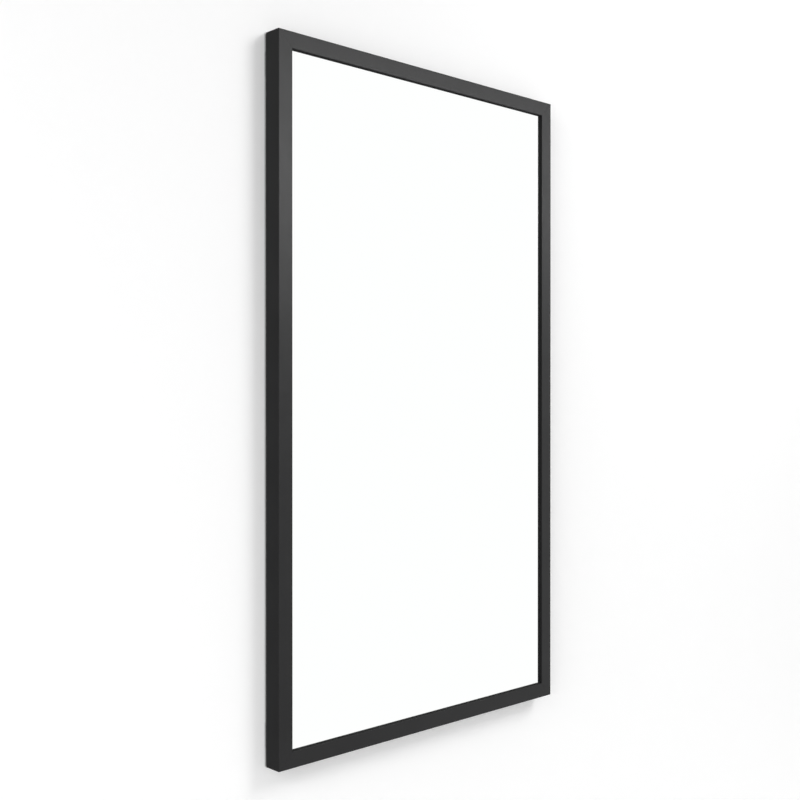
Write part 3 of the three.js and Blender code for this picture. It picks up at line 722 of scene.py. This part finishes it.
def fit_screws():
    """Puts a finely cut screw in the place of each CAD screw, turned a little differently each time."""
    masters = {}
    names = sorted(name for name in nodes if "screw" in name)
    for order, name in enumerate(names):
        low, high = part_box(name)
        length = round((high.y - low.y) / MM, 2)
        kind = screw_kind(name)
        if (kind, length) not in masters:
            masters[kind, length] = kind(length)
        bm = masters[kind, length].copy()
        middle = (low + high) / 2
        spin = Matrix.Rotation(TURN_PER_SCREW * order, 4, "Y")
        shift = Matrix.Translation((middle.x / MM, high.y / MM, middle.z / MM))
        bm.transform(shift @ spin)
        skin(bm, f"{name}_cut", DARK_SCREW, "mirror", [name])
    for bm in masters.values():
        bm.free()


def slide_point(x, s, t, z):
    """A point of the slide whose middle is at the height z."""
    return (x, -SLIDE_BACK - s, z + t)


def ball_places():
    """Where the balls of a row stand along the slide."""
    middle = (CAGE_START + CAGE_END) / 2
    return [middle + (i - (BALLS_PER_ROW - 1) / 2) * BALL_PITCH for i in range(BALLS_PER_ROW)]


def cage_strip(web_s, ball_s, ball_t, z):
    """The pressed strip of a ball cage: a web with windows and two flanges with a pocket for each ball."""
    bm = bmesh.new()
    known = {}

    def fill(loops):
        points = [point for loop in loops for point in loop]
        corners = []
        for point in points:
            key = tuple(round(value, 4) for value in point)
            if key not in known:
                known[key] = bm.verts.new(point)
            corners.append(known[key])
        for a, b, c in tessellate_polygon([[Vector(point) for point in loop] for loop in loops]):
            bm.faces.new((corners[a], corners[b], corners[c]))

    places = ball_places()
    flat = web_s + CAGE_SHEET / 2
    low = web_s + CAGE_SHEET * 1.5
    edge = ball_s + BALL_RADIUS - CAGE_SHEET / 4
    bend_t = ball_t - CAGE_BEND
    web = [[(CAGE_START, -bend_t), (CAGE_END, -bend_t), (CAGE_END, bend_t), (CAGE_START, bend_t)]]
    for left, right in zip(places, places[1:]):
        window = rounded(BALL_PITCH / 2 - WINDOW_END, ball_t - WINDOW_EDGE, WINDOW_CORNER)
        web.append([((left + right) / 2 + u, v) for u, v in window])
    fill([[slide_point(x, flat, t, z) for x, t in loop] for loop in web])
    opening = math.acos((edge - ball_s) / POCKET_RADIUS)
    rim = [(CAGE_START, low), (CAGE_END, low), (CAGE_END, edge)]
    for place in reversed(places):
        for k in range(POCKET_STEPS + 1):
            angle = opening + (2 * math.pi - 2 * opening) * k / POCKET_STEPS
            rim.append((place + POCKET_RADIUS * math.sin(angle), ball_s + POCKET_RADIUS * math.cos(angle)))
    rim.append((CAGE_START, edge))
    for side in (1, -1):
        fill([[slide_point(x, s, side * ball_t, z) for x, s in rim]])
        bend = [(CAGE_START, flat, bend_t), (CAGE_END, flat, bend_t), (CAGE_END, low, ball_t),
                (CAGE_START, low, ball_t)]
        fill([[slide_point(x, s, side * t, z) for x, s, t in bend]])
    bmesh.ops.dissolve_degenerate(bm, edges=bm.edges, dist=SLIVER)
    return bm


def fit_cages():
    """Pressed cage strips with a polished ball in each pocket."""
    for level, z in LEVELS.items():
        for which, (web_s, ball_s, ball_t) in CAGES.items():
            node = f"{level}_slide_{which}_cage"
            body = f"{level}_{which}_cage"
            strip = skin(cage_strip(web_s, ball_s, ball_t, z), f"{node}_strip", ZINC, body,
                         [node], smooth=False)
            sheet = strip.modifiers.new("sheet", "SOLIDIFY")
            sheet.thickness = CAGE_SHEET * MM
            sheet.offset = 0
            soften(strip)
            balls = bmesh.new()
            for x in ball_places():
                for side in (1, -1):
                    place = Matrix.Translation(slide_point(x, ball_s, side * ball_t, z))
                    bmesh.ops.create_uvsphere(balls, u_segments=BALL_SEGMENTS, v_segments=BALL_RINGS,
                                              radius=BALL_RADIUS, matrix=place)
            skin(balls, f"{node}_balls", BALL_STEEL, body)


def fit_bumpers():
    """Rubber end stops with a grooved face, rounded ends and a peg through the outer member."""
    near, far = BUMPER_DEPTH
    centre = (near + far) / 2
    for level, z in LEVELS.items():
        node = f"{level}_slide_bumper"
        low, high = node_box(node)
        middle = (low[0] + high[0]) / 2
        half = (high[0] - low[0]) / 2
        corners = rounded((far - near) / 2, (high[2] - low[2]) / 2, BUMPER_CORNER)
        outline = [(centre + u, v) for u, v in corners]
        grooves = []
        for groove in GROOVES:
            for k in range(GROOVE_STEPS + 1):
                angle = math.pi * k / GROOVE_STEPS
                grooves.append((far - GROOVE_RADIUS * math.sin(angle),
                                groove - GROOVE_RADIUS * math.cos(angle)))
        last_corner = 3 * len(outline) // 4
        section = outline[last_corner:] + grooves + outline[:last_corner]
        rings = []
        for reach, share in END_SHARES:
            lower = 1 - (1 - share) * END_HEIGHT_SHARE
            rings.append([slide_point(middle + reach * half, centre + (s - centre) * share, t * lower, z)
                          for s, t in section])
        block = loft(rings)
        peg = turned([(-SLIDE_BACK - PEG_INSIDE, BUMPER_PEG), (-SLIDE_BACK - PEG_CHAMFER, BUMPER_PEG),
                      (-SLIDE_BACK, BUMPER_PEG - PEG_CHAMFER)])
        peg.transform(Matrix.Translation((middle, 0, z)))
        skin(join(block, peg, "UNION"), f"{node}_moulded", RUBBER, "wall_mount", [node])


def fluff(point, size, amount):
    """Moves a point slightly by smooth noise, the same way in every run."""
    at = Vector(point) * (1 / size)
    shift = Vector([cloud_noise(at + Vector(place)) for place in NOISE_PLACES])
    return Vector(point) + amount * shift


def fit_pads():
    """Felt glide pads: pressed edges, a slight crown and an uneven nap."""
    for vertical, sideways in CORNERS:
        node = f"glide_pad_{vertical}_{sideways}"
        low, high = (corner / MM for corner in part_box(node))
        middle = (low + high) / 2
        half = (high - low) / 2
        profile = [(low.y + depth, inset) for depth, inset in PAD_BACK_PROFILE]
        profile += [(high.y - depth, inset) for depth, inset in PAD_FACE_PROFILE]
        rings = []
        for y, inset in profile:
            ring = []
            corner = max(PAD_SHARP_CORNER, PAD_CORNER - inset)
            for u, v in rounded(half.x - inset, half.z - inset, corner, PAD_CORNER_STEPS):
                ring.append((middle.x + u, y, middle.z + v))
            rings.append(ring)
        bm = loft(rings)
        long_edges = [edge for edge in bm.edges if edge.calc_length() > PAD_LONG_EDGE]
        bmesh.ops.subdivide_edges(bm, edges=long_edges, cuts=PAD_CUTS, use_grid_fill=True)
        for vert in bm.verts:
            if vert.co.y > low.y + PAD_FOOT:
                moved = fluff(vert.co, NAP_SIZE, NAP_HEIGHT)
                vert.co = (moved.x, min(moved.y, high.y), moved.z)
        pad = skin(bm, f"{node}_felt", FELT, "mirror", [node])


def fit_strips():
    """Foam strips between the lip and the glass, squeezed so that their sides bulge."""
    for side in ("left", "right", "top", "bottom"):
        node = f"glazing_strip_{side}"
        low, high = (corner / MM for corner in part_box(node))
        middle = (low + high) / 2
        half = (high - low) / 2
        along = 2 if side in SIDES else 0
        across = 2 - along
        section = rounded(half[across] - STRIP_SQUEEZE, half.y, STRIP_CORNER, STRIP_CORNER_STEPS)
        rings = []
        for i in range(STRIP_STEPS + 1):
            reach = -half[along] + 2 * half[along] * i / STRIP_STEPS
            ring = []
            for u, v in section:
                bulge = math.copysign(STRIP_BULGE * (1 - (v / half.y) ** 2), u)
                point = [0.0, middle.y + v, 0.0]
                point[across] = middle[across] + u + bulge
                point[along] = middle[along] + reach
                moved = fluff(point, WAVE_SIZE, WAVE_HEIGHT)
                moved.y = min(max(moved.y, low.y), high.y)
                moved[along] = min(max(moved[along], low[along]), high[along])
                ring.append(moved)
            rings.append(ring)
        strip = skin(loft(rings), f"{node}_foam", FOAM, "mirror", [node])


def stage_material(name, albedo, glow, glow_slope=(0, 0, 0), fade=None, contact=None):
    """Pale matt stage: it keeps shadows, is white in gloss and glass, and clear from behind.

    The camera sees a slight glow too, sloped so that it evens out the falloff of the lamps.
    Between the two distances of a fade it grows to the white of the background. Within the
    reach of a contact, and where the frame covers it, ambient occlusion darkens its colour and
    glow as painted contact shade, also because lamps behind the wall light the gap at the frame's back."""
    mat = bpy.data.materials.new(name)
    mat.use_nodes = True
    tree = mat.node_tree
    tree.nodes.clear()
    link = tree.links.new
    out = tree.nodes.new("ShaderNodeOutputMaterial")
    vector = coordinates(tree)
    matt = tree.nodes.new("ShaderNodeBsdfDiffuse")
    grain = noise(tree, vector, PLASTER_SCALE, detail=3.0)
    plaster = tint(tree, grain, (albedo - PLASTER_SWING,) * 3, (albedo + PLASTER_SWING,) * 3)
    glowing = add_node(tree, "ShaderNodeEmission", Color=WHITE)
    # Painted shade: ambient occlusion darkens the plaster's colour and the camera glow beside the frame
    # and where it covers the wall
    if contact:
        near = add_node(tree, "ShaderNodeAmbientOcclusion", Distance=contact)
        beside = maths(tree, "POWER", near.outputs["AO"], CONTACT_POWER)
        cover = add_node(tree, "ShaderNodeAmbientOcclusion", Distance=HOLLOW_REACH)
        uncovered = spread(tree, cover.outputs["AO"], 0, 1, *HOLLOW_SHARES)
        open_share = maths(tree, "MULTIPLY", beside, uncovered)
        painted_shade = add_node(tree, "ShaderNodeVectorMath", operation="SCALE")
        link(plaster, painted_shade.inputs[0])
        link(open_share, painted_shade.inputs["Scale"])
        plaster = painted_shade.outputs["Vector"]
        link(open_share, glowing.inputs["Color"])
    link(plaster, matt.inputs["Color"])
    brightness = maths(tree, "ADD", dot(tree, vector, glow_slope), glow, clamp=True)
    if fade:
        reach = add_node(tree, "ShaderNodeVectorMath", operation="LENGTH")
        link(vector, reach.inputs[0])
        brightness = mixed(tree, spread(tree, reach.outputs["Value"], 0, 1, *fade), brightness, 1.0)
    path = tree.nodes.new("ShaderNodeLightPath")
    link(maths(tree, "MULTIPLY", brightness, path.outputs["Is Camera Ray"]), glowing.inputs["Strength"])
    lit = tree.nodes.new("ShaderNodeAddShader")
    link(matt.outputs[0], lit.inputs[0])
    link(glowing.outputs[0], lit.inputs[1])
    white = add_node(tree, "ShaderNodeEmission", Color=WHITE)
    behind = spread(tree, along(tree, vector, "Y"), 1.0, BEHIND_WALL_SHARE, *BEHIND_WALL_PLACE)
    link(behind, white.inputs["Strength"])
    front = either(tree, mirrored(tree, path), lit.outputs[0], white.outputs[0])
    clear = tree.nodes.new("ShaderNodeBsdfTransparent")
    side = tree.nodes.new("ShaderNodeNewGeometry")
    link(either(tree, side.outputs["Backfacing"], front, clear.outputs[0]), out.inputs["Surface"])
    return mat


def stage_plane(name, corners, material):
    """A flat piece of the studio."""
    mesh = bpy.data.meshes.new(name)
    mesh.from_pydata(corners, [], [tuple(range(len(corners)))])
    obj = bpy.data.objects.new(name, mesh)
    bpy.context.scene.collection.objects.link(obj)
    mesh.materials.append(material)
    return obj


def make_stage():
    """A wall that only the camera sees, so that light still reaches the back, and a pale floor."""
    w, d = WALL_HALF_WIDTH, FLOOR_HALF
    foot = FLOOR_HEIGHT + 2 * CONTACT_REACH
    wall = stage_plane("wall", [(-w, WALL_GAP, foot), (w, WALL_GAP, foot),
                                (w, WALL_GAP, WALL_TOP), (-w, WALL_GAP, WALL_TOP)],
                       stage_material("wall_white", WALL_ALBEDO, WALL_GLOW, WALL_GLOW_SLOPE, WALL_FADE,
                                      CONTACT_REACH))
    wall.visible_diffuse = False
    wall.visible_glossy = False
    wall.visible_transmission = False
    wall.visible_shadow = False
    stage_plane("floor", [(-d, -d, FLOOR_HEIGHT), (d, -d, FLOOR_HEIGHT),
                          (d, d, FLOOR_HEIGHT), (-d, d, FLOOR_HEIGHT)],
                stage_material("floor_pale", FLOOR_ALBEDO, FLOOR_GLOW, fade=FLOOR_FADE))


def make_world():
    """White to the camera and in gloss and glass, an even fill for the rest, dimmer behind the wall."""
    world = bpy.data.worlds.new("studio")
    bpy.context.scene.world = world
    world.use_nodes = True
    tree = world.node_tree
    tree.nodes.clear()
    link = tree.links.new
    out = tree.nodes.new("ShaderNodeOutputWorld")
    place = tree.nodes.new("ShaderNodeTexCoord")
    path = tree.nodes.new("ShaderNodeLightPath")
    depth = along(tree, place.outputs["Generated"], "Y")
    share = spread(tree, depth, 1.0, BEHIND_WALL_SHARE, *FILL_TURN)
    level = spread(tree, mirrored(tree, path), FILL_STRENGTH, 1.0, 0, 1)
    light = add_node(tree, "ShaderNodeBackground", Color=WHITE)
    link(maths(tree, "MULTIPLY", share, level), light.inputs["Strength"])
    white = add_node(tree, "ShaderNodeBackground", Color=WHITE, Strength=1.0)
    shown = either(tree, path.outputs["Is Camera Ray"], light.outputs[0], white.outputs[0])
    link(shown, out.inputs["Surface"])


def lamp(name, softbox, power, target=(0, 0, 0), matt=False, gloss=False):
    """A softbox that faces a point. It lights matt surfaces or draws a highlight in glossy ones."""
    place, size = softbox
    data = bpy.data.lights.new(name, "AREA")
    data.shape = "RECTANGLE"
    data.size, data.size_y = size
    data.energy = power
    obj = bpy.data.objects.new(name, data)
    obj.location = place
    obj.rotation_euler = (Vector(target) - Vector(place)).to_track_quat("-Z", "Y").to_euler()
    obj.visible_diffuse = matt
    obj.visible_glossy = gloss
    bpy.context.scene.collection.objects.link(obj)
    return obj


def link_to_frame(lamp_object, state):
    """Lets a lamp reach only the frame members, or all but them."""
    members = bpy.data.collections.new(f"{lamp_object.name}_members")
    for name in FRAME_MEMBERS:
        members.objects.link(nodes[name])
    lamp_object.light_linking.receiver_collection = members
    for item in members.collection_objects:
        item.light_linking.link_state = state


def make_lamps():
    """The strip and the side sheen draw the frame's highlights, the back sheen those on the zinc."""
    lamp("key", KEY_LAMP, KEY_POWER, matt=True)
    lamp("side_fill", SIDE_LAMP, SIDE_POWER, matt=True)
    side_sheen = lamp("side_sheen", SIDE_LAMP, SIDE_SHEEN_POWER, gloss=True)
    link_to_frame(side_sheen, "INCLUDE")
    strip = lamp("strip", STRIP_LAMP, STRIP_POWER, STRIP_TARGET, gloss=True)
    link_to_frame(strip, "INCLUDE")
    lamp("back", BACK_LAMP, BACK_POWER, matt=True)
    back_sheen = lamp("back_sheen", BACK_LAMP, BACK_POWER, gloss=True)
    link_to_frame(back_sheen, "EXCLUDE")


def make_camera():
    """A camera with the photograph's place, turn and lens."""
    data = bpy.data.cameras.new("camera")
    data.lens = LENS
    data.sensor_width = SENSOR
    obj = bpy.data.objects.new("camera", data)
    obj.location = CAMERA_PLACE
    obj.rotation_euler = (math.pi / 2 + CAMERA_TILT, 0, -CAMERA_YAW)
    bpy.context.scene.collection.objects.link(obj)
    bpy.context.scene.camera = obj


bpy.context.scene.view_settings.view_transform = "Standard"
make_camera()
make_stage()
make_world()
make_lamps()
dress_frame()
dress_mechanism()
fit_screws()
fit_cages()
fit_bumpers()
fit_pads()
fit_strips()

bpy.context.view_layer.update()
